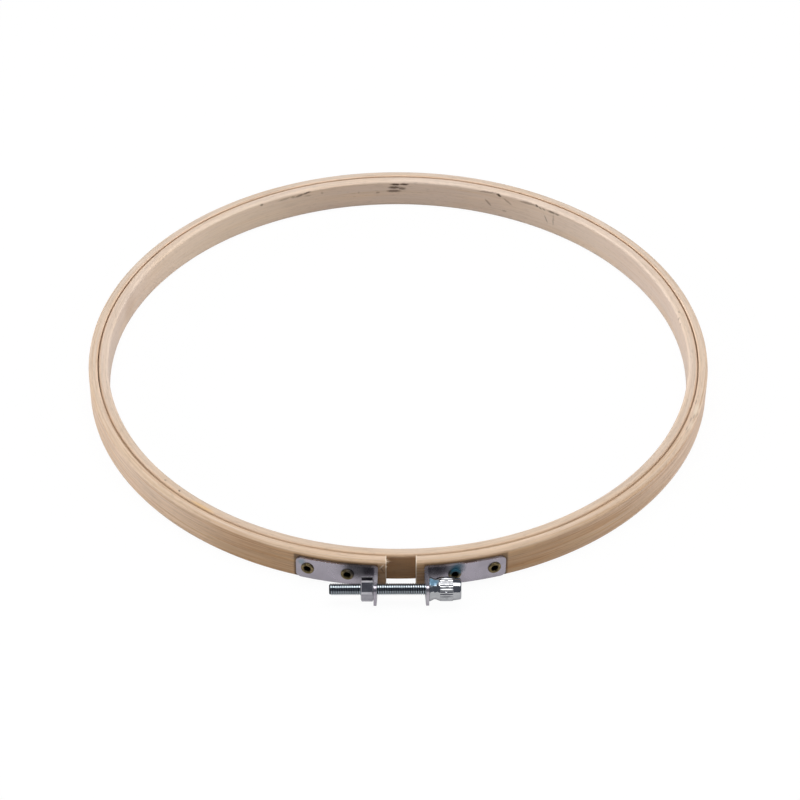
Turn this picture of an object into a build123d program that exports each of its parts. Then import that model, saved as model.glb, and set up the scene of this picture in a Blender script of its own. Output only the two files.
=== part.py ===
from build123d import *
from math import cos, radians, sin, sqrt, tan
import os

# Embroidery hoop of bent bamboo, lying flat. All sizes are in millimetres and all angles in degrees.
# The origin is on the hoop's axis at the lower faces, Z points up, and the screw clamp stands at the
# front, towards minus Y, with its knob towards plus X.

# Bamboo rings
hoop_diameter = 230.0
ring_height = 12.0
outer_wall = 3.45
inner_wall = 3.6
ring_clearance = 0.3
exposed_edge_radius = 1.2
outer_seam_edge_radius = 0.45
inner_seam_edge_radius = 1.2
gap_width = 10.0
gap_edge_radius = 0.3

# Brackets: a steel strip with an arm along the ring and an ear square to it
strip_thickness = 0.95
strip_width = 8.7
strip_middle_height = 5.8
strip_seat_gap = 0.05
bend_radius = 0.6
arm_length = 28.3
arm_corner_radius = 1.8
ear_set_back = 2.75
ear_length = 11.4
ear_lean = 3.4
ear_corner_radius = 2.0
ear_hole_clearance = 0.45

# Hollow rivets
rivet_set_back = 10.4
rivet_end_distance = 4.1
rivet_height = 6.1
rivet_shank_radius = 1.5
rivet_bore_radius = 1.05
rivet_rim_radius = 2.3
rivet_rim_height = 0.62
rivet_head_radius = 2.8
rivet_head_thickness = 0.6
rivet_recess = 0.1
rivet_play = 0.05
rivet_seat_gap = 0.03

# Screw
rod_radius = 1.98
rod_stand_off = 6.6
rod_free_length = 10.7
rod_chamfer = 0.5
knob_fit_clearance = 0.03

# Knob, from the ear outwards
knob_running_gap = 0.1
knob_collar_radius = 4.15
knob_collar_land = 0.35
knob_collar_taper = 1.2
knob_neck_radius = 3.5
knob_neck_length = 0.4
knob_flare_length = 1.65
knob_shoulder_radius = 4.0
knob_knurl_length = 4.35
knob_knurl_radius = 4.1
knob_knurl_crown = 0.07
knob_flute_count = 28
knob_flute_radius = 0.42
knob_flute_depth = 0.17
knob_rim_length = 2.8
knob_rim_radius = 3.92
knob_end_radius = 3.55
knob_end_edge_radius = 0.35
knob_end_wall = 1.3

# Nut
nut_across_flats = 7.35
nut_thickness = 4.3
nut_turn = -24.0
nut_face_radius = 3.5
nut_corner_chamfer = 0.4
nut_seat_gap = 0.05
nut_bore_clearance = 0.22
nut_bore_chamfer = 0.35

# One overrun serves all cuts that run past a face
overrun = 1.0

# Ring radii, from the outside in
outer_radius = hoop_diameter / 2
seat_radius = outer_radius - outer_wall
inner_ring_radius = seat_radius - ring_clearance
window_radius = inner_ring_radius - inner_wall

# Radii of the strip's two faces along the arm
strip_inside_radius = outer_radius + strip_seat_gap
strip_outside_radius = strip_inside_radius + strip_thickness
strip_base_height = strip_middle_height - strip_width / 2

# Where the ear's face towards the gap leaves the ring
ear_foot = gap_width / 2 + ear_set_back
ear_foot_outward = sqrt(strip_inside_radius**2 - ear_foot**2)
ear_tip_outward = outer_radius + ear_length

# The screw's axis
rod_outward = outer_radius + rod_stand_off


def ear_outside(outward):
    """X of the right ear's face away from the gap, this far out from the hoop's axis."""
    lean = radians(ear_lean)
    return ear_foot + (outward - ear_foot_outward) * tan(lean) + strip_thickness / cos(lean)


def screw_point(along):
    """The point of the screw's axis at this X."""
    return Vector(along, -rod_outward, strip_middle_height)


def screw_section(along):
    """A sketch plane square to the screw's axis at this X."""
    return Plane(origin=screw_point(along), x_dir=(0, 1, 0), z_dir=(1, 0, 0))


def wall_plane(radius, arc, outwards):
    """A plane on the ring's wall at this radius, an arc round from the gap's middle."""
    turn = arc / outer_radius
    direction = Vector(sin(turn), -cos(turn), 0)
    origin = direction * radius + Vector(0, 0, rivet_height)
    facing = direction if outwards else direction * -1
    return Plane(origin=origin, x_dir=(cos(turn), sin(turn), 0), z_dir=facing)


def export_piece(piece, label):
    """Name a finished piece and write it as its own file."""
    piece.part.label = label
    export_step(piece.part, f"parts/{label}.step")


os.makedirs("parts", exist_ok=True)

# Rivets stand at these arcs from the gap's middle, minus on the left
inner_rivet_arc = ear_foot + rivet_set_back
outer_rivet_arc = ear_foot + arm_length - rivet_end_distance
rivet_arcs = {
    "rivet_left_outer": -outer_rivet_arc,
    "rivet_left_inner": -inner_rivet_arc,
    "rivet_right_inner": inner_rivet_arc,
    "rivet_right_outer": outer_rivet_arc,
}
screw_axis = Axis(screw_point(0), (1, 0, 0))
screw_profile_plane = Plane(origin=screw_point(0), x_dir=(1, 0, 0), z_dir=(0, -1, 0))

# Inner ring: a closed band with softened edges, rounder where the fingers meet it
with BuildPart() as inner_ring:
    with BuildSketch(Plane.XZ) as inner_section:
        with Locations((window_radius + inner_wall / 2, ring_height / 2)):
            Rectangle(inner_wall, ring_height)
        fillet(inner_section.vertices().group_by(Axis.X)[0], exposed_edge_radius)
        fillet(inner_section.vertices().group_by(Axis.X)[-1], inner_seam_edge_radius)
    revolve(axis=Axis.Z)
export_piece(inner_ring, "inner_ring")

# Outer ring: the same band, one wall larger, sawn open at the front and bored for the rivets
with BuildPart() as outer_ring:
    with BuildSketch(Plane.XZ) as outer_section:
        with Locations((seat_radius + outer_wall / 2, ring_height / 2)):
            Rectangle(outer_wall, ring_height)
        fillet(outer_section.vertices().group_by(Axis.X)[-1], exposed_edge_radius)
        fillet(outer_section.vertices().group_by(Axis.X)[0], outer_seam_edge_radius)
    revolve(axis=Axis.Z)
    with BuildSketch(Plane.XY.offset(-overrun)):
        with Locations((0, -seat_radius - outer_wall / 2)):
            Rectangle(gap_width, outer_wall + 2 * overrun)
    extrude(amount=ring_height + 2 * overrun, mode=Mode.SUBTRACT)
    gap_faces = outer_ring.faces().filter_by(Axis.X)
    gap_uprights = gap_faces.edges().filter_by(Axis.Z)
    fillet(gap_uprights, gap_edge_radius)
    for rivet_arc in rivet_arcs.values():
        with Locations(wall_plane(seat_radius - overrun, rivet_arc, outwards=False)):
            CounterBoreHole(
                radius=rivet_shank_radius + rivet_play,
                counter_bore_radius=rivet_head_radius + rivet_play,
                counter_bore_depth=overrun + rivet_recess + rivet_head_thickness + rivet_play,
                depth=outer_wall + 2 * overrun,
            )
export_piece(outer_ring, "outer_ring")

# Right bracket: the strip seen from above, an arc along the ring and a straight leaning ear
with BuildPart() as right_bracket:
    with BuildSketch(Plane.XY.offset(strip_base_height)):
        with BuildLine() as strip_path:
            foot = Vector(ear_foot, -ear_foot_outward, 0)
            far_turn = (ear_foot + arm_length) / outer_radius
            far_end = Vector(sin(far_turn), -cos(far_turn), 0) * strip_inside_radius
            ear_rise = ear_tip_outward - ear_foot_outward
            tip = foot + Vector(ear_rise * tan(radians(ear_lean)), -ear_rise, 0)
            RadiusArc(far_end, foot, strip_inside_radius)
            Line(foot, tip)
            bend = strip_path.vertices().sort_by_distance(foot)[0]
            fillet(bend, bend_radius + strip_thickness)
            offset(amount=strip_thickness, side=Side.LEFT)
        make_face()
    extrude(amount=strip_width)
    tip_face = right_bracket.faces().sort_by(Axis.Y)[0]
    fillet(tip_face.edges().group_by(SortBy.LENGTH)[0], ear_corner_radius)
    far_face = right_bracket.faces().sort_by(Axis.X)[-1]
    fillet(far_face.edges().group_by(SortBy.LENGTH)[0], arm_corner_radius)
    with Locations(screw_section(0)):
        Hole(rod_radius + ear_hole_clearance)
    for rivet_arc in (inner_rivet_arc, outer_rivet_arc):
        with Locations(wall_plane(strip_outside_radius + overrun, rivet_arc, outwards=True)):
            Hole(rivet_shank_radius + rivet_play, depth=strip_thickness + 2 * overrun)
export_piece(right_bracket, "right_bracket")

# Left bracket: the mirror image
with BuildPart() as left_bracket:
    mirror(right_bracket.part, about=Plane.YZ)
export_piece(left_bracket, "left_bracket")

# One rivet on its own axis: flat head in the ring's recess, shank, and rim rolled over the strip.
# Heights are measured outwards from the head's face.
rivet_head_face = seat_radius + rivet_recess
rivet_rim_base = strip_outside_radius + rivet_seat_gap - rivet_head_face
rim_middle_radius = (rivet_bore_radius + rivet_rim_radius) / 2
with BuildPart() as rivet:
    with BuildSketch(Plane.XZ):
        with BuildLine():
            Polyline(
                (rivet_bore_radius, rivet_rim_base),
                (rivet_bore_radius, rivet_head_thickness),
                (0, rivet_head_thickness),
                (0, 0),
                (rivet_head_radius, 0),
                (rivet_head_radius, rivet_head_thickness),
                (rivet_shank_radius, rivet_head_thickness),
                (rivet_shank_radius, rivet_rim_base),
                (rivet_rim_radius, rivet_rim_base),
            )
            ThreePointArc(
                (rivet_rim_radius, rivet_rim_base),
                (rim_middle_radius, rivet_rim_base + rivet_rim_height),
                (rivet_bore_radius, rivet_rim_base),
            )
        make_face()
    revolve(axis=Axis.Z)

for rivet_label, rivet_arc in rivet_arcs.items():
    with BuildPart() as placed_rivet:
        add(wall_plane(rivet_head_face, rivet_arc, outwards=True) * rivet.part)
    export_piece(placed_rivet, rivet_label)

# Nut against the left ear, with its flats turned a little and its corners taken back by a turned cone
nut_inside = ear_outside(rod_outward + nut_face_radius) + nut_seat_gap
nut_outside = nut_inside + nut_thickness
nut_corner_radius = nut_across_flats / 2 / cos(radians(30))
with BuildPart() as nut:
    with BuildSketch(screw_section(-nut_outside)):
        RegularPolygon(nut_across_flats / 2, side_count=6, major_radius=False, rotation=nut_turn)
    extrude(amount=nut_thickness)
    with BuildSketch(screw_profile_plane):
        with BuildLine():
            Polyline(
                (-nut_outside, 0),
                (-nut_outside, nut_face_radius),
                (-nut_outside + nut_corner_chamfer, nut_corner_radius),
                (-nut_inside - nut_corner_chamfer, nut_corner_radius),
                (-nut_inside, nut_face_radius),
                (-nut_inside, 0),
                close=True,
            )
        make_face()
    revolve(axis=screw_axis, mode=Mode.INTERSECT)
    with Locations(screw_section(-nut_inside)):
        Hole(rod_radius + nut_bore_clearance)
    bore_rims = nut.edges().filter_by(GeomType.CIRCLE)
    bore_rims = bore_rims.filter_by(lambda rim: rim.radius < nut_across_flats / 2 - nut_bore_chamfer)
    chamfer(bore_rims.group_by(SortBy.RADIUS)[0], nut_bore_chamfer)
export_piece(nut, "nut")

# Stations of the knob along the screw
collar_start = ear_outside(rod_outward + knob_collar_radius) + knob_running_gap
taper_start = collar_start + knob_collar_land
neck_start = taper_start + knob_collar_taper
flare_start = neck_start + knob_neck_length
knurl_start = flare_start + knob_flare_length
rim_start = knurl_start + knob_knurl_length
knob_end = rim_start + knob_rim_length
bore_end = knob_end - knob_end_wall

# Rod: plain at its outer thread diameter, chamfered at the free end, its other end inside the knob
rod_start = -nut_outside - rod_free_length
rod_end = bore_end - knob_fit_clearance
with BuildPart() as screw_rod:
    with BuildSketch(screw_section(rod_start)):
        Circle(rod_radius)
    extrude(amount=rod_end - rod_start)
    chamfer(screw_rod.edges().sort_by(Axis.X)[0], rod_chamfer)
export_piece(screw_rod, "screw_rod")

# Knob: a turned body with collar, neck, crowned knurl and tapering rim, bored blind for the rod
knob_bore_radius = rod_radius + knob_fit_clearance
with BuildPart() as knob:
    with BuildSketch(screw_profile_plane) as knob_profile:
        with BuildLine():
            Polyline(
                (bore_end, 0),
                (bore_end, knob_bore_radius),
                (collar_start, knob_bore_radius),
                (collar_start, knob_collar_radius),
                (taper_start, knob_collar_radius),
                (neck_start, knob_neck_radius),
                (flare_start, knob_neck_radius),
            )
            Spline(
                (flare_start, knob_neck_radius),
                (knurl_start, knob_shoulder_radius),
                tangents=((1, 0), (1, 0)),
            )
            Line((knurl_start, knob_shoulder_radius), (knurl_start, knob_knurl_radius))
            ThreePointArc(
                (knurl_start, knob_knurl_radius),
                (knurl_start + knob_knurl_length / 2, knob_knurl_radius + knob_knurl_crown),
                (rim_start, knob_knurl_radius),
            )
            Polyline(
                (rim_start, knob_knurl_radius),
                (rim_start, knob_rim_radius),
                (knob_end, knob_end_radius),
                (knob_end, 0),
                (bore_end, 0),
            )
        make_face()
        end_corner = knob_profile.vertices().group_by(Axis.X)[-1].sort_by(Axis.Z)[-1]
        fillet(end_corner, knob_end_edge_radius)
    revolve(axis=screw_axis)
    flute_ring_radius = knob_knurl_radius + knob_knurl_crown - knob_flute_depth + knob_flute_radius
    with BuildSketch(screw_section(knurl_start)):
        with PolarLocations(flute_ring_radius, knob_flute_count):
            Circle(knob_flute_radius)
    extrude(amount=knob_knurl_length, mode=Mode.SUBTRACT)
export_piece(knob, "knob")
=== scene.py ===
"""Dresses the embroidery hoop: two bamboo rings, a steel clamp, hollow rivets and a knurled knob.

Sizes are in millimetres in the classes and in metres in the meshes. Turns are degrees round the
hoop from the middle of the gap, plus towards the knob.
"""

import logging
import math
from collections.abc import Callable
from dataclasses import dataclass
from enum import Enum
from itertools import accumulate
from typing import Union

import bmesh
import bpy
from mathutils import Matrix, Vector


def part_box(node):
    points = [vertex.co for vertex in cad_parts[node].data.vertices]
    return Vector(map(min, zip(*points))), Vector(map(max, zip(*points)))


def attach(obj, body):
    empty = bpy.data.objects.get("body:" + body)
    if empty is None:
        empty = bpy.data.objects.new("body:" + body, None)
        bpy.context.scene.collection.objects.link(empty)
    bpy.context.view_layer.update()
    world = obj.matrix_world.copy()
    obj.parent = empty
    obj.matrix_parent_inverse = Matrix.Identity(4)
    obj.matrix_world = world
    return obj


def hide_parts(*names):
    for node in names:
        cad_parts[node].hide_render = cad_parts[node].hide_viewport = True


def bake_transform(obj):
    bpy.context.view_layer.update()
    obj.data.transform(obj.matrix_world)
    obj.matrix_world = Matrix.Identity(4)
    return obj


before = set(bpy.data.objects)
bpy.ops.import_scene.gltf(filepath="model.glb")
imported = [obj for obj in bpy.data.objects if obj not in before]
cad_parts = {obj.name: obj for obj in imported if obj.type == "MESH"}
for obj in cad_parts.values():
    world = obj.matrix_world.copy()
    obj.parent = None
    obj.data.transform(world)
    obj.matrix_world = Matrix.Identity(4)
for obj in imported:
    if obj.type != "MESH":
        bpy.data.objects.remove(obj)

MM = 0.001
REST_PLACE = "rest_place"
TURNED_PLACE = "turned_place"
SHARP_ANGLE = 35.0
HOOP_RADIUS = 115.0
HOOP_HEIGHT = 12.0
WINDOW_RADIUS = 107.65
SCREW_OUTWARD = 121.6
SCREW_HEIGHT = 5.8
RIVET_HEIGHT = 6.1
INNER_RIVET_ARC = 18.15
OUTER_RIVET_ARC = 31.95
RIVET_BORE = 1.05
WHITE = (1.0, 1.0, 1.0, 1.0)
SOCKETS = {
    bool: "NodeSocketBool",
    int: "NodeSocketInt",
    float: "NodeSocketFloat",
    tuple: "NodeSocketVector",
}
log = logging.getLogger("embroidery_hoop")

Piece = bpy.types.Object
Material = bpy.types.Material
Pair = tuple[float, float]
Triple = tuple[float, float, float]
Line = list[Pair]


# ---------------------------------------------------------------- wiring of node trees


def arithmetic(operation: str, flipped: bool = False) -> Callable[["Wire", "Feed"], "Wire"]:
    """Makes an operator for wires.

    Args:
        operation: what its math node works out.
        flipped: whether the other number comes first.

    Returns:
        The operator.
    """

    def operator(wire: "Wire", other: "Feed") -> "Wire":
        """Adds the math node."""
        return wire.tree.math(operation, *((other, wire) if flipped else (wire, other)))

    return operator


@dataclass(frozen=True)
class Wire:
    """One output of a node. Arithmetic on it adds the math node that works it out."""

    tree: "Tree"
    socket: bpy.types.NodeSocket

    __add__ = __radd__ = arithmetic("ADD")
    __mul__ = __rmul__ = arithmetic("MULTIPLY")
    __sub__ = arithmetic("SUBTRACT")
    __rsub__ = arithmetic("SUBTRACT", flipped=True)
    __truediv__ = arithmetic("DIVIDE")
    __rtruediv__ = arithmetic("DIVIDE", flipped=True)
    # What is left over is never below zero, and a comparison gives 1 or 0
    __mod__ = arithmetic("FLOORED_MODULO")
    __gt__ = arithmetic("GREATER_THAN")
    __lt__ = arithmetic("LESS_THAN")


Feed = Union[Wire, float, int, bool, str, tuple, list]
Feeds = dict[Union[str, int], Feed]


class Tree:
    """A node tree that is being wired up, for a finish or for a shape."""

    def __init__(self, tree: bpy.types.NodeTree) -> None:
        """Takes over an existing tree, to which nodes are added."""
        self.tree = tree

    def node(self, kind: str, feeds: Feeds | None = None, **settings: object) -> bpy.types.Node:
        """Adds one node.

        Args:
            kind: Blender's name of the node type.
            feeds: what goes into its sockets, by name or by number; a list joins several wires.
            settings: the node's own properties.

        Returns:
            The new node.
        """
        made = self.tree.nodes.new(kind)
        for name, value in settings.items():
            setattr(made, name, value)
        for key, value in (feeds or {}).items():
            named = (s for s in made.inputs if s.name == key and s.enabled)
            socket = made.inputs[key] if isinstance(key, int) else next(named)
            for each in value if isinstance(value, list) else [value]:
                if isinstance(each, Wire):
                    self.tree.links.new(each.socket, socket)
                else:
                    socket.default_value = each
        return made

    def out(
        self, kind: str, feeds: Feeds | None = None, output: str | int = 0, **settings: object
    ) -> Wire:
        """Adds one node and gives one of its outputs.

        Args:
            kind: Blender's name of the node type.
            feeds: what goes into its sockets.
            output: the output's name, or its number among those in use.
            settings: the node's own properties.

        Returns:
            The output.
        """
        shown = [s for s in self.node(kind, feeds, **settings).outputs if s.enabled]
        if isinstance(output, int):
            return Wire(self, shown[output])
        return Wire(self, next(s for s in shown if s.name == output))

    def math(self, operation: str, *values: Feed) -> Wire:
        """Adds a math node on one to three numbers."""
        return self.out("ShaderNodeMath", dict(enumerate(values)), operation=operation)

    def vector(self, operation: str, *values: Feed, **named: Feed) -> Wire:
        """Adds a math node on one to three vectors, and on sockets given by name, such as Scale."""
        feeds = {**dict(enumerate(values)), **named}
        return self.out("ShaderNodeVectorMath", feeds, operation=operation)

    def xyz(self, x: Feed, y: Feed, z: Feed) -> Wire:
        """Puts three numbers together as a vector."""
        return self.out("ShaderNodeCombineXYZ", {0: x, 1: y, 2: z})

    def split(self, vector: Wire) -> tuple[Wire, Wire, Wire]:
        """Takes a vector apart into its three numbers."""
        made = self.node("ShaderNodeSeparateXYZ", {0: vector})
        return tuple(Wire(self, made.outputs[i]) for i in range(3))

    def span(self, x: Wire, y: Wire) -> Wire:
        """Works out how far a place is from an axis that it is x aside of and y ahead of."""
        return self.math("SQRT", x * x + y * y)

    def stretched(self, place: Wire, x: float, y: float, z: float) -> Wire:
        """Stretches a place, so that what is read there is that long in each direction."""
        return self.vector("MULTIPLY", place, (1 / x, 1 / y, 1 / z))

    def ramp(
        self, value: Feed, low: float, high: float, to_low: float = 0.0, to_high: float = 1.0
    ) -> Wire:
        """Turns the range from low to high smoothly into the range from to_low to to_high."""
        feeds = {0: value, "From Min": low, "From Max": high, "To Min": to_low, "To Max": to_high}
        return self.out("ShaderNodeMapRange", feeds, interpolation_type="SMOOTHSTEP")

    def noise(
        self, place: Feed, scale: float = 1.0, detail: float = 2.0, roughness: float = 0.5
    ) -> Wire:
        """Adds even noise, about 0 to 1, with scale features for each unit of place."""
        feeds = {"Vector": place, "Scale": scale, "Detail": detail, "Roughness": roughness}
        return self.out("ShaderNodeTexNoise", feeds)

    def shift(self, place: Feed, scale: float) -> Wire:
        """Adds noise in all three directions, about -0.5 to 0.5."""
        feeds = {"Vector": place, "Scale": scale, "Detail": 2.0}
        return self.vector("SUBTRACT", self.out("ShaderNodeTexNoise", feeds, "Color"), (0.5,) * 3)

    def mix(self, share: Feed, first: Feed, second: Feed, how: str = "MIX") -> Wire:
        """Mixes two colours, by the second one's share and Blender's name of the way."""
        feeds = {"Factor": share, "A": opaque(first), "B": opaque(second)}
        return self.out("ShaderNodeMix", feeds, data_type="RGBA", blend_type=how)


def opaque(colour: Feed) -> Feed:
    """Gives a colour of three numbers its fourth."""
    return (*colour, 1.0) if isinstance(colour, tuple) and len(colour) == 3 else colour


def socket_name(word: str) -> str:
    """Gives the name of the shader's socket that is written as a word such as base_color."""
    return word.replace("_", " ").title().replace("Ior", "IOR")


def bare_tree(owner: Material | bpy.types.World) -> Tree:
    """Gives a material or a world an empty tree.

    Args:
        owner: what gets the tree.

    Returns:
        The tree.
    """
    owner.use_nodes = True
    owner.node_tree.nodes.clear()
    return Tree(owner.node_tree)


class Surface(Tree):
    """A material that is being wired up round its one principled shader."""

    def __init__(self, name: str, **constants: Feed) -> None:
        """Starts a material.

        Args:
            name: the material's name.
            constants: numbers and colours that are the same all over, by the socket's word.
        """
        self.material = bpy.data.materials.new(name)
        self.material.use_nodes = True
        super().__init__(self.material.node_tree)
        self.shader = next(n for n in self.tree.nodes if n.type == "BSDF_PRINCIPLED")
        for word, value in constants.items():
            self.shader.inputs[socket_name(word)].default_value = opaque(value)

    def finish(self, bump: Wire, rise: float, **wires: Wire) -> Material:
        """Feeds the shader.

        Args:
            bump: the height of the surface's grain, 0 to 1.
            rise: what a height of 1 is, in millimetres.
            wires: what goes into the shader's sockets, by the socket's word.

        Returns:
            The finished material.
        """
        feeds = {"Height": bump, "Distance": rise * MM, "Strength": 1.0}
        wires["normal"] = self.out("ShaderNodeBump", feeds)
        for word, wire in wires.items():
            self.tree.links.new(wire.socket, self.shader.inputs[socket_name(word)])
        return self.material

    def millimetres(self, attribute: str | None = None) -> Wire:
        """Reads where the surface is.

        Args:
            attribute: a stored place that is read in place of the object's own coordinates.

        Returns:
            The place in millimetres.
        """
        if attribute:
            place = self.out("ShaderNodeAttribute", output="Vector", attribute_name=attribute)
        else:
            place = self.out("ShaderNodeTexCoord", output="Object")
        return self.vector("SCALE", place, Scale=1 / MM)


class Shape(Tree):
    """A geometry tree with named sizes. It ends in Realize Instances and Set Material."""

    def __init__(self, name: str) -> None:
        """Starts a shape.

        Args:
            name: the tree's name.
        """
        group = bpy.data.node_groups.new(name, "GeometryNodeTree")
        super().__init__(group)
        self.values: dict[str, bool | int | float | Triple] = {}
        for way in ("INPUT", "OUTPUT"):
            group.interface.new_socket("Geometry", in_out=way, socket_type="NodeSocketGeometry")
        self.entry = group.nodes.new("NodeGroupInput")
        self.base = Wire(self, self.entry.outputs[0])

    def size(self, name: str, value: bool | int | float | Triple) -> Wire:
        """Adds a named size, of the socket type that its value has.

        Args:
            name: the size's name.
            value: what the piece gets for it, in metres, radians or a count.

        Returns:
            The size inside the tree.
        """
        kind = SOCKETS[type(value)]
        added = self.tree.interface.new_socket(name, in_out="INPUT", socket_type=kind)
        self.values[added.identifier] = value
        return Wire(self, self.entry.outputs[name])

    def sizes(self, unit: float = MM, **values: float) -> list[Wire]:
        """Adds several named sizes, given in a unit and named by words such as bore_radius."""
        named = {word.replace("_", " ").title(): value for word, value in values.items()}
        return [self.size(name, value * unit) for name, value in named.items()]

    def position(self) -> Wire:
        """Reads the place of each point."""
        return self.out("GeometryNodeInputPosition")

    def spun(self, angle: Wire) -> Wire:
        """Gives the rotation that lays the Z axis outwards and turns it round the hoop."""
        return self.out("FunctionNodeEulerToRotation", {0: self.xyz(math.pi / 2, 0.0, angle)})

    def random(self, low: Feed, high: Feed, seed: Wire) -> Wire:
        """Draws a vector between two corners."""
        feeds = {"Min": low, "Max": high, "Seed": seed}
        return self.out("FunctionNodeRandomValue", feeds, data_type="FLOAT_VECTOR")

    def set_out(
        self, count: Feed, place: Wire, piece: Wire, turn: Wire, scale: Feed = (1.0, 1.0, 1.0)
    ) -> Wire:
        """Sets out a piece several times.

        Args:
            count: how many times.
            place: where each one goes.
            piece: what is set out.
            turn: how each one is turned.
            scale: how large each one is.

        Returns:
            The instances.
        """
        points = self.out("GeometryNodePoints", {"Count": count, "Position": place})
        feeds = {"Points": points, "Instance": piece, "Rotation": turn, "Scale": scale}
        return self.out("GeometryNodeInstanceOnPoints", feeds)

    def close(self, geometry: Wire, material: Material) -> "Shape":
        """Ends the tree.

        Args:
            geometry: what it makes.
            material: its finish.

        Returns:
            The shape itself.
        """
        real = self.out("GeometryNodeRealizeInstances", {"Geometry": geometry})
        dressed = self.out("GeometryNodeSetMaterial", {"Geometry": real, "Material": material})
        self.node("NodeGroupOutput", {0: dressed})
        return self

    def moved(self, geometry: Wire, place: Wire, selection: Feed = True) -> Wire:
        """Puts the selected points at new places."""
        feeds = {"Geometry": geometry, "Selection": selection, "Position": place}
        return self.out("GeometryNodeSetPosition", feeds)

    def turned(self, facets: Feed, edge: Feed) -> Wire:
        """Turns the base line, x its radius and y its height, round the Z axis.

        Args:
            facets: how many facets go round.
            edge: the radius that softens its corners.

        Returns:
            The turned mesh, with its own place stored on it.
        """
        # The circle that leads the line round has a radius, which the line's shift takes back
        lead = 1.0 * MM
        line = self.out("GeometryNodeMeshToCurve", {"Mesh": self.base})
        feeds = {"Geometry": line, "Translation": (-lead, 0.0, 0.0), "Scale": (1.0, -1.0, 1.0)}
        line = self.out("GeometryNodeTransform", feeds)
        feeds = {"Curve": line, "Count": 3, "Radius": edge, "Limit Radius": True}
        line = self.out("GeometryNodeFilletCurve", feeds, mode="POLY")
        feeds = {"Resolution": facets, "Radius": lead}
        circle = self.out("GeometryNodeCurvePrimitiveCircle", feeds)
        mesh = self.out("GeometryNodeCurveToMesh", {"Curve": circle, "Profile Curve": line})
        feeds = {"Geometry": mesh, "Name": TURNED_PLACE, "Value": self.position()}
        return self.out("GeometryNodeStoreNamedAttribute", feeds, data_type="FLOAT_VECTOR")


# ---------------------------------------------------------------- meshes


def new_piece(name: str, data: bpy.types.ID) -> Piece:
    """Puts a mesh, a lens or a lamp in the scene.

    Args:
        name: the piece's name.
        data: its mesh, lens or lamp.

    Returns:
        The new object, at the origin.
    """
    piece = bpy.data.objects.new(name, data)
    bpy.context.scene.collection.objects.link(piece)
    return piece


def bake(piece: Piece) -> Piece:
    """Turns a piece and its modifiers into a plain mesh.

    Args:
        piece: the piece, changed in place.

    Returns:
        The same piece without modifiers.
    """
    bpy.context.view_layer.update()
    seen = piece.evaluated_get(bpy.context.evaluated_depsgraph_get())
    piece.data = bpy.data.meshes.new_from_object(seen)
    piece.modifiers.clear()
    piece.data.name = piece.name
    return piece


def faced(piece: Piece, apart: float = 0.002) -> Piece:
    """Closes seams and poles, turns all faces outwards and shades them.

    Args:
        piece: the piece, changed in place.
        apart: points nearer than this many millimetres become one.

    Returns:
        The same piece.
    """
    work = bmesh.new()
    work.from_mesh(piece.data)
    bmesh.ops.remove_doubles(work, verts=work.verts, dist=apart * MM)
    bmesh.ops.dissolve_degenerate(work, edges=work.edges, dist=1e-7)
    bmesh.ops.recalc_face_normals(work, faces=work.faces)
    for face in work.faces:
        face.smooth = True
    work.to_mesh(piece.data)
    work.free()
    piece.data.set_sharp_from_angle(angle=math.radians(SHARP_ANGLE))
    return piece


def eased(piece: Piece, width: float, above: float = 40.0) -> Piece:
    """Breaks the hard edges and evens the shading of the flats.

    Args:
        piece: the piece, changed in place.
        width: the width of the broken edge in millimetres, 0 for none.
        above: the angle in degrees from which an edge is broken.

    Returns:
        The same piece, baked.
    """
    if width:
        bevel = piece.modifiers.new("eased edges", "BEVEL")
        bevel.width = width * MM
        bevel.segments = 2
        bevel.limit_method = "ANGLE"
        bevel.angle_limit = math.radians(above)
        bevel.use_clamp_overlap = True
    even = piece.modifiers.new("even flats", "WEIGHTED_NORMAL")
    even.keep_sharp = True
    return bake(piece)


def grow(name: str, shape: Shape, line: Line | None = None) -> Piece:
    """Makes a piece from a geometry tree.

    Args:
        name: the piece's name.
        shape: the tree with its sizes.
        line: the base line in millimetres, for a turned shape.

    Returns:
        The piece as a plain, closed mesh.
    """
    mesh = bpy.data.meshes.new(name)
    if line:
        points = [(r * MM, h * MM, 0.0) for r, h in line]
        mesh.from_pydata(points, [(i, i + 1) for i in range(len(points) - 1)], [])
    piece = new_piece(name, mesh)
    modifier = piece.modifiers.new(name, "NODES")
    modifier.node_group = shape.tree
    for identifier, value in shape.values.items():
        modifier[identifier] = value
    return faced(bake(piece))


def node_copy(name: str, node: str, flat: float = 0.3) -> Piece:
    """Copies a CAD node's mesh, merges its doubles and joins its flat facets.

    Args:
        name: the new piece's name.
        node: the CAD node.
        flat: facets that meet at less than this many degrees are joined.

    Returns:
        The copy, the node itself is left alone.
    """
    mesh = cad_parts[node].data.copy()
    mesh.materials.clear()
    piece = new_piece(name, mesh)
    if "custom_normal" in mesh.attributes:
        mesh.attributes.remove(mesh.attributes["custom_normal"])
    faced(piece)
    work = bmesh.new()
    work.from_mesh(piece.data)
    limit = math.radians(flat)
    bmesh.ops.dissolve_limit(work, angle_limit=limit, verts=work.verts, edges=work.edges)
    work.to_mesh(piece.data)
    work.free()
    piece.data.set_sharp_from_angle(angle=math.radians(SHARP_ANGLE))
    return piece


def keep_rest(piece: Piece) -> Piece:
    """Stores where each point is at rest, which the grain of the bamboo follows.

    Args:
        piece: the piece, changed in place.

    Returns:
        The same piece.
    """
    places = [c for v in piece.data.vertices for c in v.co]
    kept = piece.data.attributes.new(REST_PLACE, "FLOAT_VECTOR", "POINT")
    kept.data.foreach_set("vector", places)
    return piece


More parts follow.
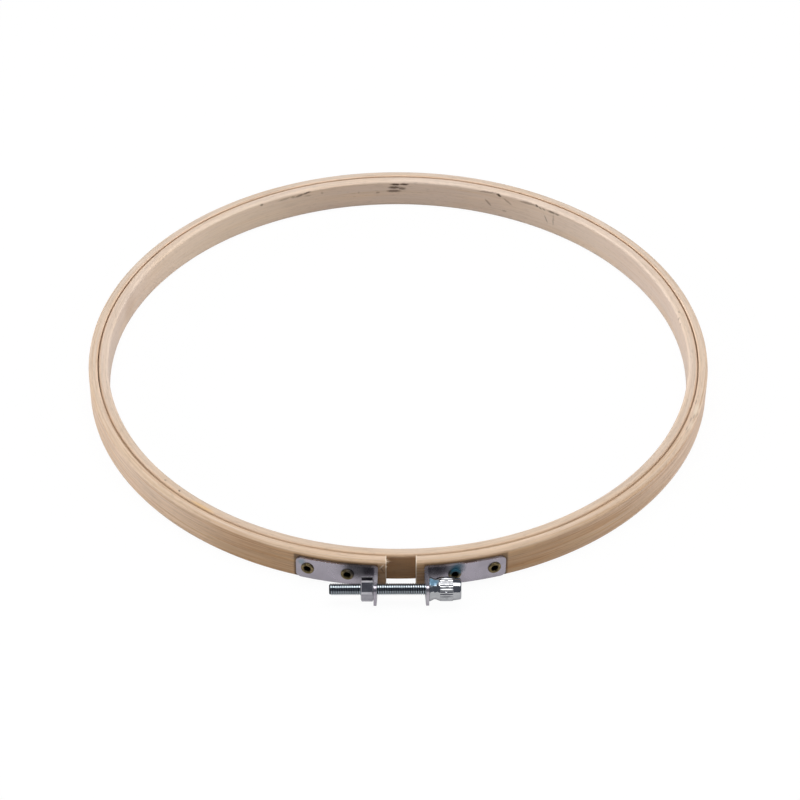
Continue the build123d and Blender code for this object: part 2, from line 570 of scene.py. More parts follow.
def arc_line(first: Pair, through: Pair, last: Pair, steps: int) -> Line:
    """Points on the arc through three points.

    Args:
        first: where it starts.
        through: a point on it.
        last: where it ends.
        steps: how many runs it is divided into.

    Returns:
        The points between its ends.
    """
    (ax, ay), (bx, by), (cx, cy) = first, through, last
    a2, b2, c2 = ax**2 + ay**2, bx**2 + by**2, cx**2 + cy**2
    d = 2 * (ax * (by - cy) + bx * (cy - ay) + cx * (ay - by))
    ux = (a2 * (by - cy) + b2 * (cy - ay) + c2 * (ay - by)) / d
    uy = (a2 * (cx - bx) + b2 * (ax - cx) + c2 * (bx - ax)) / d
    start, between, end = (math.atan2(y - uy, x - ux) for x, y in (first, through, last))
    way = 1 if (between - start) % math.tau < (end - start) % math.tau else -1
    sweep = ((end - start) * way) % math.tau * way
    radius = math.hypot(ax - ux, ay - uy)
    turns = [start + sweep * i / steps for i in range(1, steps)]
    return [(ux + radius * math.cos(t), uy + radius * math.sin(t)) for t in turns]


# ---------------------------------------------------------------- finishes


class Tint(Enum):
    """What a mark on the bamboo, or painted shade on it, does to its colour."""

    DARK = (0.07, 0.042, 0.025)
    BROWN = (0.34, 0.19, 0.09)
    AMBER = (0.74, 0.49, 0.24)
    PALE = (0.84, 0.72, 0.58)


class Grain(Enum):
    """The layers of the bamboo's grain: how long, deep and tall they are, and their detail."""

    WANDER = (40, 4, 4, 2)
    BANDS = (38, 0.6, 0.7, 2)
    FIBRES = (12, 0.4, 0.45, 0.5)
    PORES = (2.4, 0.4, 0.45, 0)


class Soil(Enum):
    """Colours of corrosion and soil on the metal, and of painted shade, highlights and dark
    reflections.
    """

    THREAD_DIRT = (0.04, 0.045, 0.05)
    BORE_DIRT = (0.012, 0.009, 0.006)
    GRIME = (0.055, 0.052, 0.06)
    TEAL = (0.008, 0.072, 0.115)
    PALE_TEAL = (0.10, 0.24, 0.30)
    BLUE = (0.10, 0.27, 0.42)
    RUBBED = (0.72, 0.69, 0.74)
    RUBBED_CORNER = (0.66, 0.65, 0.69)


@dataclass(frozen=True)
class Mark:
    """A stain, pin hole, scratch or growth line of the bamboo, as a soft ellipsoid in the strip."""

    tint: Tint
    turn: float
    radius: float
    height: float
    long: float
    deep: float = 1.0
    tall: float = 0.3
    strength: float = 0.8
    slope: float = 0.0


@dataclass(frozen=True)
class ClampShade:
    """Where painted contact shade darkens the wall by the clamp's strips: between two ends, above
    their upper edge.
    """

    inner_end: float = 7.6
    outer_end: float = 36.0
    height: float = 10.15
    depth: float = 1.4


@dataclass(frozen=True)
class Spot:
    """Where a point of the bamboo is. Across goes from 0 at the seam to 1, up from wall to top."""

    aside: Wire
    ahead: Wire
    radius: Wire
    height: Wire
    across: Wire
    up: Wire
    bands: Wire


@dataclass(frozen=True)
class Bamboo:
    """Satin bamboo, its fibres running along the bent strip.

    The front and the back of the hoop differ a little in colour. Near the front and the back the
    walls are darker and browner than at the sides: partly the wood's colour, partly painted shade
    on walls that face the dim front. The edge along the seam is warmer, and warmest down between
    the rings.
    """

    name: str
    front_top: Triple
    back_top: Triple
    seam_top: Triple
    shaded_front_wall: Triple
    side_wall: Triple
    seam_wall: Triple
    joint: float
    seam_radius: float
    exposed_radius: float
    top_height: float = HOOP_HEIGHT
    seam_share: float = 0.12
    shaded_edge: float = 0.0
    edge_shade: float = 0.0
    edge_shade_tint: Triple = (0.86, 0.82, 0.76)
    gap_shade: float = 0.0
    clamp_shade: ClampShade | None = None
    streaks: float = 0.5
    warm_streak: Triple = (0.88, 0.78, 0.66)
    cool_streak: Triple = (1.06, 1.10, 1.16)
    cut_ends: float = 0.0
    marks: tuple[Mark, ...] = ()

    def make(self) -> Material:
        """Wires the material up.

        Returns:
            The material.
        """
        s = Surface(self.name, metallic=0.0, specular_ior_level=0.35)
        place = s.millimetres(REST_PLACE)
        aside, ahead, _ = s.split(place)
        aside = s.math("ABSOLUTE", aside)
        turn = {"Vector": place, "Angle": math.radians(-self.joint)}
        x, y, z = s.split(s.out("ShaderNodeVectorRotate", turn, rotation_type="Z_AXIS"))
        radius = s.span(x, y)
        # Measured from opposite the joint, so that the grain breaks off only there
        arc = s.math("ARCTAN2", x * -1.0, y) * self.seam_radius
        strip = s.xyz(arc, radius, z)
        wander, bands, fibres, pores = (
            s.noise(s.stretched(strip, *layer.value[:3]), detail=layer.value[3]) for layer in Grain
        )
        # How near the place is to the seam's edge, and how far up
        across = (radius - self.seam_radius) * (1 / (self.exposed_radius - self.seam_radius))
        up = s.ramp(z + wander - 0.5, self.top_height - 1.1, self.top_height - 0.3)
        spot = Spot(aside, ahead, radius, z, across, up, bands)
        colour = self.faces(s, spot)
        # The wall by the clamp's strips gets painted contact shade
        if self.clamp_shade:
            colour = self.dirt(s, colour, spot)
        # Warm and cool streaks run with the fibres, stronger in the dark parts of the wall
        strength = self.streaks * s.ramp(up, 0.0, 1.0, 1.6, 1.0)
        warm, cool = (s.ramp(bands, *reach) * strength for reach in ((0.50, 0.68), (0.48, 0.32)))
        colour = s.mix(warm, colour, self.warm_streak, "MULTIPLY")
        colour = s.mix(cool, colour, self.cool_streak, "MULTIPLY")
        colour = s.mix(s.ramp(wander, 0.45, 0.75, 0.0, 0.16), colour, Tint.AMBER.value)
        dark = s.ramp(up, 0.0, 1.0, 1 - 0.2 * self.streaks, 0.93)
        light = s.ramp(up, 0.0, 1.0, 1 + 0.125 * self.streaks, 1.05)
        tone = s.ramp(fibres, 0.25, 0.75) * (light - dark) + dark
        tone = tone * s.ramp(pores, 0.24, 0.40, 0.90, 1.0)
        colour = s.vector("SCALE", colour, Scale=tone)
        if self.cut_ends:
            # The sawn arris at each end of the strip is pale
            end = s.ramp(aside + fibres * 0.3, self.cut_ends, self.cut_ends + 0.35, 0.85, 0.0)
            colour = s.mix(end * (ahead < 0.0), colour, Tint.PALE.value)
        ragged = strip
        if self.marks:
            ragged = s.vector("MULTIPLY_ADD", s.shift(place, 1.1), (1.2, 0.4, 0.5), strip)
        for tint in Tint:
            masks = [self.mask(s, ragged, arc, mark) for mark in self.marks if mark.tint is tint]
            if masks:
                most = masks[0]
                for mask in masks[1:]:
                    most = s.math("MAXIMUM", most, mask)
                colour = s.mix(most * s.ramp(fibres, 0.2, 0.6, 0.75, 1.0), colour, tint.value)
        grain = fibres * 0.6 + pores * 0.4
        roughness = s.ramp(fibres, 0.2, 0.8, 0.45, 0.62)
        return s.finish(grain, 0.007, base_color=colour, roughness=roughness)

    def faces(self, s: Surface, spot: Spot) -> Wire:
        """Wires up the colours of the top and the walls.

        Args:
            s: the material.
            spot: where the point is.

        Returns:
            The colour.
        """
        aside, ahead, across = spot.aside, spot.ahead, spot.across
        top = s.mix(s.ramp(ahead, -90.0, 100.0), self.front_top, self.back_top)
        top = s.mix(s.ramp(across + spot.bands * 0.3, 0.5, 0.1), top, self.seam_top)
        if self.shaded_edge:
            # At the front the edge along the seam is painted browner, painted shade in the seam
            in_shade = s.ramp(across, 0.2, 0.1, 0.0, self.shaded_edge) * s.ramp(ahead, -20.0, -62.0)
            top = s.mix(in_shade, top, Tint.BROWN.value)
        if self.edge_shade:
            # The exposed edge is painted darker too, more lightly: painted shade where it rolls
            # over, strongest at the front
            painted_edge_lighting = s.ramp(across, 0.35, 0.85, 0.0, self.edge_shade)
            top = s.mix(painted_edge_lighting * s.ramp(ahead, -30.0, -95.0, 0.3, 1.0), top, self.edge_shade_tint, "MULTIPLY")
        # Walls near the front and back are painted darker and browner, partly painted shade
        sideways = s.ramp(aside, self.seam_radius * 0.35, self.seam_radius)
        wall = s.mix(sideways, self.shaded_front_wall, self.side_wall)
        deep = s.ramp(spot.height, self.top_height - 0.4, self.top_height - 1.8, 0.25, 1.0)
        at_seam = across < self.seam_share
        wall = s.mix(at_seam * deep, wall, self.seam_wall)
        if self.gap_shade:
            # Between the strip's ends the wall and its top edge are painted darker and browner:
            # painted shade under the clamp
            bare = s.ramp(aside, self.gap_shade + 1.0, self.gap_shade) * (ahead < 0.0) * at_seam
            wall = s.mix(bare * deep, wall, Tint.BROWN.value)
            edge = s.ramp(across, self.seam_share, 0.02, 0.0, 0.45)
            top = s.mix(bare * edge, top, Tint.BROWN.value)
        return s.mix(spot.up, wall, top)

    def dirt(self, s: Surface, colour: Wire, spot: Spot) -> Wire:
        """Wires up the painted shade above the clamp's strips, and between them and the sawn ends.

        Args:
            s: the material.
            colour: the colour without the painted shade.
            spot: where the point is.

        Returns:
            The colour with the painted shade.
        """
        inner, outer, height = self.clamp_shade.inner_end, self.clamp_shade.outer_end, self.clamp_shade.height
        outside = self.exposed_radius - self.clamp_shade.depth
        front = (spot.ahead < 0.0) * s.ramp(spot.radius, outside, outside + 0.5)
        above = s.ramp(spot.aside, inner, inner + 0.6) * s.ramp(spot.aside, outer + 0.8, outer)
        layers = ((1.75, 0.75, 0.35, Tint.BROWN), (1.0, 0.45, 0.8, Tint.DARK))
        for in_light, in_shade, strength, tint in layers:
            ragged = spot.height + spot.bands * 0.3
            low = s.ramp(ragged, height + in_light, height + in_shade, 0.0, strength)
            colour = s.mix(front * above * low, colour, tint.value)
        # Between the strips and the sawn ends the wall is painted browner too, painted shade by the
        # ears
        beside = s.ramp(spot.aside, inner + 0.6, inner)
        beside = beside * s.ramp(spot.height, height + 1.2, height, 0.0, 0.3)
        return s.mix(front * beside, colour, Tint.BROWN.value)

    def mask(self, s: Surface, strip: Wire, arc: Wire, mark: Mark) -> Wire:
        """Wires up where one mark is.

        Args:
            s: the material.
            strip: the place in the strip: along, out from the axis, up.
            arc: the length along the strip.
            mark: the mark.

        Returns:
            Its strength at each place.
        """
        start = math.radians((mark.turn - self.joint) % 360 - 180) * self.seam_radius
        centre = (start, mark.radius, mark.height)
        if mark.slope:
            strip = s.vector("ADD", strip, s.xyz(0.0, 0.0, (arc - start) * -mark.slope))
        share = (1 / mark.long, 1 / mark.deep, 1 / mark.tall)
        offset = tuple(-c * f for c, f in zip(centre, share))
        away = s.vector("LENGTH", s.vector("MULTIPLY_ADD", strip, share, offset))
        return s.ramp(away, 0.35, 1.1, mark.strength, 0.0)


@dataclass(frozen=True)
class StainAndLight:
    """A coloured bloom on a metal part, round one place of the object.

    Some are a painted highlight or a painted dark reflection in place of a bloom.
    """

    place: Triple
    reach: float
    colour: Soil
    strength: float
    matt: float = 1.0


@dataclass(frozen=True)
class EdgeHighlight:
    """Which corners and end edges of a piece on the screw get a painted highlight, pale and matt.
    """

    middle: float = -11.5
    half_length: float = 2.15
    corner: float = 4.243
    strength: float = 0.85


@dataclass(frozen=True)
class Metal:
    """A plated or brass finish with its clouding, fine scratches, stains and soiling, and painted
    shade, highlights and dark reflections.
    """

    name: str
    colour: Triple
    shade: Triple
    roughness: float
    clouding: float = 4.0
    grain: float = 0.25
    scratches: float = 0.006
    along: Triple = (1.0, 1.0, 1.0)
    stains_and_light: tuple[StainAndLight, ...] = ()
    dark_bore: float = 0.0
    dark_within: float = 0.0
    painted_edge_lighting: EdgeHighlight | None = None
    edge: Triple = (0.6, 0.6, 0.62)

    def make(self) -> Material:
        """Wires the material up.

        Returns:
            The material.
        """
        s = Surface(self.name, metallic=1.0, specular_tint=self.edge)
        matt: dict[str, Wire] = {}
        place = s.millimetres(TURNED_PLACE if self.dark_bore else None)
        cloud = s.noise(place, 1 / self.clouding, 3, 0.55)
        fine = s.noise(s.vector("MULTIPLY", place, self.along), 1 / self.grain, 3, 0.6)
        colour = s.mix(s.ramp(cloud, 0.35, 0.7), self.colour, self.shade)
        colour = s.mix(s.ramp(fine, 0.52, 0.75, 0.0, 0.35), colour, self.shade)
        x, y, z = s.split(s.millimetres())
        out = s.span(y + SCREW_OUTWARD, z - SCREW_HEIGHT)
        if self.dark_within:
            # The thread's roots are painted darker: soil held in them, and painted shade in the
            # roots
            root = s.ramp(out, self.dark_within - 0.22, self.dark_within, 0.9, 0.0)
            colour = s.mix(root, colour, Soil.THREAD_DIRT.value)
        if self.painted_edge_lighting:
            # Corners and end edges are painted pale and matt: a painted highlight along the edges
            end, corner = self.painted_edge_lighting.half_length, self.painted_edge_lighting.corner
            ends = s.ramp(s.math("ABSOLUTE", x - self.painted_edge_lighting.middle), end - 0.34, end - 0.12)
            corners = s.ramp(out, corner - 0.29, corner - 0.16)
            share = s.math("MAXIMUM", ends * (out > corner * 0.86), corners) * self.painted_edge_lighting.strength
            colour = s.mix(share, colour, Soil.RUBBED_CORNER.value)
            matt["metallic"] = 1.0 - share * 0.8
        for stain_and_light in self.stains_and_light:
            away = s.vector("DISTANCE", s.millimetres(), stain_and_light.place)
            away = away + s.ramp(cloud, 0.3, 0.7, -0.5, 0.5)
            share = s.ramp(away, stain_and_light.reach * 0.4, stain_and_light.reach, stain_and_light.strength, 0.0)
            colour = s.mix(share, colour, stain_and_light.colour.value)
            bare = 1.0 - share * stain_and_light.matt
            matt["metallic"] = matt["metallic"] * bare if matt else bare
        if self.dark_bore:
            x, y, z = s.split(place)
            rim = self.dark_bore
            # The bore is painted nearly black, painted shade in the hole
            hollow = s.ramp(s.span(x, y), rim * 0.96, rim * 1.28, 0.92, 0.0)
            colour = s.mix(hollow, colour, Soil.BORE_DIRT.value)
        roughness = s.ramp(cloud, 0.3, 0.7, self.roughness * 0.8, self.roughness * 1.3)
        return s.finish(fine, self.scratches, base_color=colour, roughness=roughness, **matt)


# ---------------------------------------------------------------- marks on the bamboo


def marks(tint: Tint, *rows: tuple[float, ...]) -> tuple[Mark, ...]:
    """Makes marks of one tint from turn, radius, height, long, deep, tall, strength and slope."""
    return tuple(Mark(tint, *row) for row in rows)


def wall_marks(*rows: tuple[float, ...]) -> tuple[Mark, ...]:
    """Makes dark marks on the inner wall from turn, height, long, tall, strength and slope."""
    return marks(Tint.DARK, *((row[0], WINDOW_RADIUS, *row[1:3], 1.0, *row[3:]) for row in rows))


INNER_MARKS = (
    *wall_marks(
        # The patch at the back
        (180.15, 10.41, 2.7, 0.62, 1.0), (178.30, 10.48, 2.4, 0.58, 1.0),
        (180.35, 8.96, 3.2, 0.85, 0.85), (178.74, 8.53, 2.1, 0.85, 0.75),
        (180.50, 7.26, 3.8, 0.8, 0.88), (183.94, 6.69, 0.95, 0.59, 0.45),
        (188.07, 7.29, 0.7, 0.65, 0.26),
        # The scuffs to its right
        (157.38, 10.90, 1.4, 0.72, 1.0, 0.323), (155.39, 8.86, 2.6, 0.7, 0.42, 0.6),
        (159.76, 6.14, 1.8, 0.8, 0.52, 0.86), (156.00, 3.85, 1.3, 0.65, 0.39),
        (150.54, 10.88, 4.8, 0.7, 0.52, -0.05), (148.44, 10.95, 0.85, 0.55, 0.98, 0.2),
        (147.64, 10.58, 1.0, 0.55, 0.65, 0.3), (146.71, 10.51, 0.85, 0.55, 0.65, 0.2),
        (144.79, 10.60, 2.3, 0.65, 0.85), (143.46, 10.56, 1.6, 0.6, 0.7),
        (146.10, 6.30, 1.3, 0.8, 0.6, 1.64), (144.30, 7.20, 0.5, 3.3, 0.42),
        # The scuffs to its left
        (210.1, 10.78, 0.95, 0.65, 1.0), (204.70, 10.2, 3.6, 0.6, 0.5, -0.06),
        (203.50, 6.50, 4.2, 1.2, 0.12), (202.66, 10.16, 1.7, 0.65, 0.52, 0.15),
        (201.11, 10.22, 2.5, 0.65, 0.85, -0.14), (199.57, 10.76, 2.3, 0.55, 0.98, -0.14),
        (199.42, 9.28, 2.1, 0.59, 0.33, 0.07), (196.16, 9.35, 0.9, 0.78, 0.33, 0.19),
    ),
    *marks(
        Tint.DARK,
        (159.88, 107.75, 11.12, 5.4, 1.0, 0.55, 0.52, -0.075),
        (99.60, 107.8, 11.2, 0.6, 1.2, 1.1, 0.42), (98.00, 107.8, 11.0, 0.6, 1.2, 0.9, 0.42),
        (101.30, 108.9, 12.0, 1.0, 0.5, 0.6, 0.35), (-48.38, 109.94, 12.0, 0.7, 0.5, 0.6, 0.5),
        (-44.36, 109.98, 12.0, 0.65, 0.45, 0.6, 0.85),
    ),
    *marks(Tint.BROWN, (252.5, WINDOW_RADIUS, 6.5, 6.5, 1.0, 5.5, 0.2)),
    *marks(
        Tint.AMBER,
        (226.0, WINDOW_RADIUS, 6.0, 62.0, 2.0, 14.0, 0.14),
        (-38.4, 110.65, 12.0, 6.5, 1.0, 1.2, 0.75),
    ),
    *marks(
        Tint.PALE,
        (220.0, WINDOW_RADIUS, 6.0, 52.0, 2.0, 14.0, 0.24),
        (141.0, WINDOW_RADIUS, 4.0, 36.0, 2.0, 12.0, 0.13),
        (-53.6, 110.9, 12.0, 2.2, 0.25, 0.6, 0.5),
    ),
)
OUTER_MARKS = (
    *marks(
        Tint.DARK,
        (-3.25, HOOP_RADIUS, 8.2, 1.0, 1.5, 0.7, 0.5, -1.85),
        (-3.9, HOOP_RADIUS, 6.2, 0.8, 1.5, 0.6, 0.3, -1.6),
        (73.7, 112.55, 12.0, 1.8, 0.25, 0.6, 0.4), (75.4, 112.7, 12.0, 1.4, 0.22, 0.6, 0.3),
        (69.6, 113.6, 12.0, 1.8, 0.25, 0.6, 0.5), (70.3, 114.5, 11.7, 1.6, 0.25, 0.8, 0.35),
        (68.6, 113.0, 12.0, 1.5, 0.25, 0.6, 0.45), (66.0, 113.2, 12.0, 1.6, 0.3, 0.6, 0.35),
    ),
    *marks(
        Tint.BROWN,
        (38.0, HOOP_RADIUS, 6.0, 52.0, 1.6, 14.0, 0.12),
        (-27.0, HOOP_RADIUS, 4.0, 18.0, 1.6, 5.0, 0.12),
    ),
    *marks(
        Tint.PALE,
        (-3.3, HOOP_RADIUS, 9.6, 0.9, 1.5, 0.6, 0.6, 1.2),
        (-50.0, HOOP_RADIUS, 6.0, 38.0, 1.6, 14.0, 0.1),
        (71.5, 113.6, 12.0, 4.2, 1.0, 0.8, 0.65), (66.8, 113.9, 12.0, 3.2, 0.8, 0.8, 0.5),
    ),
)


# ---------------------------------------------------------------- sub-assemblies


class Body(Enum):
    """The bodies that pieces ride on."""

    OUTER_FRAME = "outer_frame"
    LEFT_CLAMP = "left_clamp"
    SCREW = "screw"
    INNER_HOOP = "inner_hoop"


class Side(Enum):
    """The two halves of the clamp."""

    LEFT = -1
    RIGHT = 1


def placed(piece: Piece, body: Body, slot: str, *nodes: str) -> Piece:
    """Gives a finished piece its body and hides the nodes it stands for.

    Args:
        piece: the piece.
        body: what it rides on.
        slot: the record's material slot; not used.
        nodes: the CAD nodes that it replaces.

    Returns:
        The piece.
    """
    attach(piece, body.value)
    if nodes:
        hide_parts(*nodes)
    log.info("%s rides on %s, %d faces", piece.name, body.value, len(piece.data.polygons))
    return piece


@dataclass
class BambooRings:
    """The two bent rings, and the splinters at the sawn end of the outer one."""

    outer_radius: float = HOOP_RADIUS
    outer_wall: float = 3.45
    inner_wall: float = 3.78
    clearance: float = 0.12
    height: float = HOOP_HEIGHT
    exposed_edge: float = 1.2
    outer_seam_edge: float = 0.45
    inner_seam_edge: float = 1.2
    gap: float = 10.0
    end_reach: float = 0.35
    end_edge: float = 0.22
    segments: int = 840
    unevenness: float = 0.09
    swell_length: float = 22.0
    swells_out: float = 350.0
    swells_up: float = 120.0
    inner_joint: float = -100.0
    inner_start: float = -190.0
    inner_arc: float = INNER_RIVET_ARC
    outer_arc: float = OUTER_RIVET_ARC
    rivet_height: float = RIVET_HEIGHT
    shank: float = 1.5
    head: float = 2.8
    head_depth: float = 0.75
    play: float = 0.05
    drill_reach: float = 6.0
    splinter_count: int = 9
    splinter_seed: int = 4
    splinter_length: float = 1.9
    splinter_thickness: float = 0.09
    first_corner: Triple = (-5.35, -114.6, 9.4)
    last_corner: Triple = (-5.2, -112.2, 11.2)

    def seat(self) -> float:
        """Gives the radius of the outer ring's inside wall."""
        return self.outer_radius - self.outer_wall

    def strip(self, t: Shape, outer: bool, rim: float, gap: Wire) -> tuple[Wire, Wire]:
        """Sweeps a softened section round, uneven and with flat ends.

        Args:
            t: the tree.
            outer: whether it is the outer ring.
            rim: the radius of its outside wall.
            gap: the size of the gap inside the tree.

        Returns:
            The strip, and the radius of its middle.
        """
        wall = self.outer_wall if outer else self.inner_wall
        half = math.asin(self.gap / 2 / rim) if outer else 0.0
        middle, width, height, inside, outside, uneven = t.sizes(
            middle_radius=rim - wall / 2,
            wall=wall,
            height=self.height,
            inside_edge=self.outer_seam_edge if outer else self.exposed_edge,
            outside_edge=self.exposed_edge if outer else self.inner_seam_edge,
            unevenness=self.unevenness,
        )
        # A closed ring leaves out the last of its even steps
        start, sweep = t.sizes(
            1.0,
            start_turn=-math.pi / 2 + half if outer else math.radians(self.inner_start),
            sweep=math.tau - 2 * half if outer else math.tau * (1 - 1 / self.segments),
        )
        segments = t.size("Segments", self.segments)
        way = {"Resolution": segments, "Radius": middle, "Start Angle": start, "Sweep Angle": sweep}
        path = t.out("GeometryNodeCurveArc", way, mode="RADIUS")
        closed = t.size("Closed", not outer)
        path = t.out("GeometryNodeSetSplineCyclic", {"Geometry": path, "Cyclic": closed})
        frame_size = {"Width": width, "Height": height}
        section = t.out("GeometryNodeCurvePrimitiveQuadrilateral", frame_size)
        edge = inside + (t.split(t.position())[0] > 0.0) * (outside - inside)
        feeds = {"Curve": section, "Count": 5, "Radius": edge}
        section = t.out("GeometryNodeFilletCurve", feeds, mode="POLY")
        feeds = {"Curve": path, "Profile Curve": section, "Fill Caps": True}
        mesh = t.out("GeometryNodeCurveToMesh", feeds)
        # The strip's thickness wanders a little along its length, and only ever inwards
        x, y, z = t.split(t.position())
        along = t.math("ARCTAN2", x * -1.0, y) * (self.outer_radius / self.swell_length)
        place = t.xyz(along, t.span(x, y) * self.swells_out, z * self.swells_up)
        swell = t.noise(place, detail=1)
        inwards = t.out("GeometryNodeInputNormal")
        inwards = t.vector("SCALE", inwards, Scale=uneven * swell * -1.0)
        lift = (0.0, 0.0, self.height / 2 * MM)
        for offset in (inwards, lift):
            mesh = t.out("GeometryNodeSetPosition", {"Geometry": mesh, "Offset": offset})
        # The sawn ends are flat and stand square to the gap
        x, y, z = t.split(t.position())
        at_end = (t.math("ABSOLUTE", x) < gap * 0.5 + self.end_reach * MM) * (y < 0.0)
        square = t.xyz(t.math("SIGN", x) * gap * 0.5, y, z)
        return t.moved(mesh, square, at_end * (gap > 0.0)), middle

    def bored(self, t: Shape, mesh: Wire, middle: Wire) -> Wire:
        """Bores four rivet holes, each with a recess for the rivet's head.

        Args:
            t: the tree.
            mesh: the strip.
            middle: the radius of its middle.

        Returns:
            The bored strip.
        """
        near, far = t.sizes(
            1.0,
            inner_rivet_turn=self.inner_arc / self.outer_radius,
            outer_rivet_turn=self.outer_arc / self.outer_radius,
        )
        height, bore, recess, floor = t.sizes(
            rivet_height=self.rivet_height,
            bore_radius=self.shank + self.play,
            recess_radius=self.head + self.play,
            recess_floor=self.seat() + self.head_depth,
        )
        index = t.out("GeometryNodeInputIndex")
        spin = t.spun((near + (index > 1.5) * (far - near)) * (index % 2.0 * 2.0 - 1.0))
        reach = self.drill_reach * MM
        drills = []
        for radius, top in ((bore, middle + reach), (recess, floor)):
            bottom = middle - reach
            feeds = {"Vertices": 40, "Radius": radius, "Depth": top - bottom}
            tool = t.out("GeometryNodeMeshCylinder", feeds)
            feeds = {"Geometry": tool, "Translation": t.xyz(0.0, 0.0, (top + bottom) * 0.5)}
            tool = t.out("GeometryNodeTransform", feeds)
            tools = t.set_out(4, t.xyz(0.0, 0.0, height), tool, spin)
            drills.append(t.out("GeometryNodeRealizeInstances", {0: tools}))
        feeds = {"Mesh 1": mesh, "Mesh 2": drills}
        return t.out("GeometryNodeMeshBoolean", feeds, operation="DIFFERENCE")

    def ring(self, name: str, material: Material, outer: bool) -> Piece:
        """Makes one ring.

        Args:
            name: its name.
            material: its finish.
            outer: whether it is the outer ring, with its gap and rivet holes.

        Returns:
            The ring's mesh, in place.
        """
        t = Shape("bent strip")
        gap = t.size("Gap", self.gap * MM if outer else 0.0)
        rim = self.outer_radius if outer else self.seat() - self.clearance
        mesh, middle = self.strip(t, outer, rim, gap)
        if outer:
            mesh = self.bored(t, mesh, middle)
        piece = grow(name, t.close(mesh, material))
        return keep_rest(eased(piece, self.end_edge if outer else 0.0, 60.0))

    def splinters(self, material: Material) -> Piece:
        """Makes the torn fibres that stand into the gap from the left end of the outer ring.

        Args:
            material: their finish.

        Returns:
            The splinters as one mesh.
        """
        t = Shape("splinters")
        count = t.size("Count", self.splinter_count)
        seed = t.size("Seed", self.splinter_seed)
        length, thickness = t.sizes(length=self.splinter_length, thickness=self.splinter_thickness)
        first = t.size("First Corner", tuple(c * MM for c in self.first_corner))
        last = t.size("Last Corner", tuple(c * MM for c in self.last_corner))
        cone = {"Vertices": 5, "Radius Top": 0.0, "Radius Bottom": thickness, "Depth": length}
        sliver = t.out("GeometryNodeMeshCone", cone)
        level = math.pi / 2
        tilt = t.random((-0.35, level - 0.5, -0.3), (0.35, level + 0.35, 0.5), seed + 1.0)
        lean = t.out("FunctionNodeEulerToRotation", {0: tilt})
        scale = t.random((0.7, 0.6, 0.45), (1.2, 1.1, 1.25), seed + 2.0)
        sown = t.set_out(count, t.random(first, last, seed), sliver, lean, scale)
        return keep_rest(grow("end_splinters", t.close(sown, material)))

    def build(self) -> None:
        """Builds and dresses both rings."""
        seat = self.seat()
        rim = seat - self.clearance
        outer_finish = Bamboo(
            "bamboo of the outer ring",
            (0.71, 0.545, 0.415), (0.73, 0.595, 0.485), (0.77, 0.575, 0.425),
            (0.455, 0.287, 0.165), (0.695, 0.515, 0.39), (0.74, 0.54, 0.37),
            0.0, seat, self.outer_radius, shaded_edge=0.8, edge_shade=1.0, clamp_shade=ClampShade(),
            streaks=0.62, cut_ends=5.25, marks=OUTER_MARKS,
        ).make()
        inner_finish = Bamboo(
            "bamboo of the inner ring",
            (0.68, 0.54, 0.43), (0.77, 0.62, 0.51), (0.71, 0.49, 0.32),
            (0.57, 0.44, 0.35), (0.65, 0.515, 0.425), (0.72, 0.50, 0.33),
            self.inner_joint, rim, rim - self.inner_wall, gap_shade=6.0, streaks=0.2, marks=INNER_MARKS,
        ).make()
        outer = self.ring("outer_bamboo_ring", outer_finish, True)
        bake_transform(outer)
        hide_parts("outer_ring")
        log.info("%s bends between its bodies, %d faces", outer.name, len(outer.data.polygons))
        inner = self.ring("inner_bamboo_ring", inner_finish, False)
        placed(inner, Body.INNER_HOOP, "bamboo_inner", "inner_ring")
        placed(self.splinters(outer_finish), Body.LEFT_CLAMP, "bamboo_outer")


